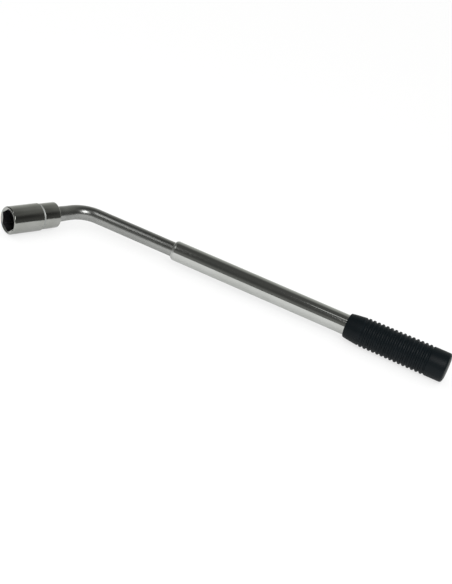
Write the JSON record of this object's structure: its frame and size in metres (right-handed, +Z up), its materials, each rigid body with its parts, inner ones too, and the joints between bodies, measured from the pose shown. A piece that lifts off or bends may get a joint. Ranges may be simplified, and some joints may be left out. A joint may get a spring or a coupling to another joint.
{
  "type": "telescopic wheel wrench",
  "caption": "Telescopic wheel-nut wrench: a bent chromed bar with a hexagon socket on its square drive slides in a tube with a ribbed black hand grip.",
  "frame": {"origin": "middle of the underside of the bounding box, on the surface that the closed wrench lies on", "axes": "+X along the handle towards the end of the grip, -Y to the side that the socket leg points to, +Z up from the surface"},
  "size_m": [0.4224, 0.094, 0.0275],
  "materials": {
    "chromed_tube": "polished",
    "chromed_bar": "polished",
    "chromed_socket": "satin over a forged surface",
    "turned_steel": "turned",
    "hard_steel_ball": "ground",
    "spring_steel": "oiled",
    "nylon": "matte",
    "grip_rubber": "satin moulded",
    "plug_plastic": "satin moulded"
  },
  "bodies": {
    "handle": {"outer_tube": "chromed_tube", "grip": "grip_rubber", "end_plug": "plug_plastic"},
    "friction_ring": {"friction_ring": "nylon"},
    "bar": {"drive_bar": "chromed_bar", "guide_sleeve": "turned_steel", "sleeve_pin": "spring_steel", "drive_ball_spring": "spring_steel", "detent_spring": "spring_steel"},
    "socket": {"wheel_nut_socket": "chromed_socket"},
    "drive_ball": {"drive_ball": "hard_steel_ball"},
    "detent_ball_upper": {"detent_ball_upper": "hard_steel_ball"},
    "detent_ball_lower": {"detent_ball_lower": "hard_steel_ball"}
  },
  "joints": [
    {"name": "telescope", "type": "slide", "parent": "handle", "child": "friction_ring", "axis": [-1, 0, 0], "range_m": [0, 0.19]},
    {"name": "bar_turn", "type": "hinge", "parent": "friction_ring", "child": "bar", "pos_m": [0.14187, 0.03329, 0.01375], "axis": [-1, 0, 0], "continuous": true},
    {"name": "socket_pull", "type": "slide", "parent": "bar", "child": "socket", "axis": [-0.4617, -0.887, 0], "range_m": [0, 0.035]},
    {"name": "drive_ball_travel", "type": "slide", "parent": "bar", "child": "drive_ball", "axis": [0, 0, 1], "range_m": [0, 0.0007], "stiffness_N_per_m": 300, "springref_m": 0.004, "deforming": ["drive_ball_spring"]},
    {"name": "detent_upper_travel", "type": "slide", "parent": "bar", "child": "detent_ball_upper", "axis": [0, 0, 1], "range_m": [0, 0.0004], "stiffness_N_per_m": 300, "springref_m": 0.004, "deforming": ["detent_spring"]},
    {"name": "detent_lower_travel", "type": "slide", "parent": "bar", "child": "detent_ball_lower", "axis": [0, 0, -1], "range_m": [0, 0.0004], "stiffness_N_per_m": 300, "springref_m": 0.004}
  ]
}
